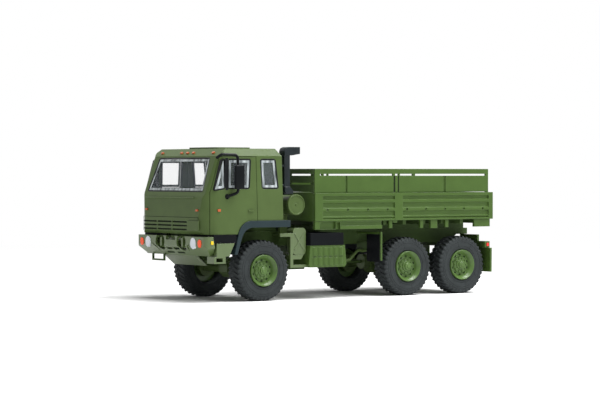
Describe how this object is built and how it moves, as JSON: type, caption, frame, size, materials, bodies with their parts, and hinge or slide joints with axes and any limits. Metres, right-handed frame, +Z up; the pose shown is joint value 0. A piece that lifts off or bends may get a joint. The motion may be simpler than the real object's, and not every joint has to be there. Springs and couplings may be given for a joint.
{
  "type": "scale model military cargo truck",
  "caption": "display model of a three-axle cab-over military cargo truck with open cargo bed, slatted troop seat racks and three rolling wheelsets",
  "frame": {"origin": "on the ground below the middle of the model's overall box", "axes": "+Z up, the cab faces -Y, +X is the truck's left side"},
  "size_m": [0.0376, 0.0948, 0.0399],
  "materials": {
    "arch_grey": "blue-grey black plastic",
    "black_seal": "black painted window seal",
    "body_green": "satin olive green paint over moulded plastic",
    "chassis_green": "satin dark olive green paint",
    "clear_glazing": "clear moulded glazing",
    "interior_grey": "dark grey plastic",
    "lamp_orange": "orange-red lens paint",
    "lamp_red": "red lens paint",
    "lamp_white": "white lens paint",
    "matt_black": "matt black plastic",
    "reflector_yellow": "yellow lens paint",
    "steel_pin": "plain steel wire",
    "tyre_rubber": "dark grey soft vinyl",
    "wheel_green": "satin olive green paint, slightly brighter"
  },
  "bodies": {
    "chassis": {"air_cleaner": "body_green", "air_tanks": "body_green", "axle_housings": "chassis_green", "battery_box": "matt_black", "bed_brackets": "body_green", "bed_bulkhead": "body_green", "bed_floor": "body_green", "bed_subframe": "body_green", "cab_floor": "interior_grey", "cab_glass": "clear_glazing", "cab_shell": "body_green", "cab_sill_panels": "matt_black", "cab_steps": "body_green", "can_carrier": "body_green", "dashboard": "interior_grey", "doors": "body_green", "engine": "chassis_green", "flap_brackets": "body_green", "frame_crossmembers": "chassis_green", "frame_rails": "chassis_green", "front_bumper": "body_green", "front_springs": "chassis_green", "front_step_loop": "body_green", "fuel_can": "body_green", "fuel_tank": "body_green", "head_rack": "body_green", "headlamps": "lamp_white", "intake_stack": "arch_grey", "marker_lamps": "lamp_orange", "mirrors": "arch_grey", "mudflaps": "matt_black", "number_plate": "body_green", "propeller_shafts": "chassis_green", "rear_flaps": "body_green", "rear_springs": "chassis_green", "roof_hatch": "body_green", "seat_racks": "body_green", "seats": "interior_grey", "side_boards": "body_green", "side_reflectors": "reflector_yellow", "side_skirts": "body_green", "skid_plate": "body_green", "steering_wheel": "interior_grey", "tail_beam": "body_green", "tail_lamps": "lamp_red", "tailgate": "body_green", "transfer_case": "chassis_green", "turn_lamps": "lamp_orange", "wheel_arches": "arch_grey", "window_seals": "black_seal"},
    "front_wheelset": {"front_axle_pin": "steel_pin", "front_tyres": "tyre_rubber", "front_wheels": "wheel_green"},
    "middle_wheelset": {"middle_axle_pin": "steel_pin", "middle_tyres": "tyre_rubber", "middle_wheels": "wheel_green"},
    "rear_wheelset": {"rear_axle_pin": "steel_pin", "rear_tyres": "tyre_rubber", "rear_wheels": "wheel_green"}
  },
  "joints": [
    {"name": "front_wheels_roll", "type": "hinge", "parent": "chassis", "child": "front_wheelset", "pos_m": [0, -0.02873, 0.0079], "axis": [1, 0, 0], "continuous": true},
    {"name": "middle_wheels_roll", "type": "hinge", "parent": "chassis", "child": "middle_wheelset", "pos_m": [0, 0.01847, 0.0079], "axis": [1, 0, 0], "continuous": true},
    {"name": "rear_wheels_roll", "type": "hinge", "parent": "chassis", "child": "rear_wheelset", "pos_m": [0, 0.03728, 0.0079], "axis": [1, 0, 0], "continuous": true}
  ]
}
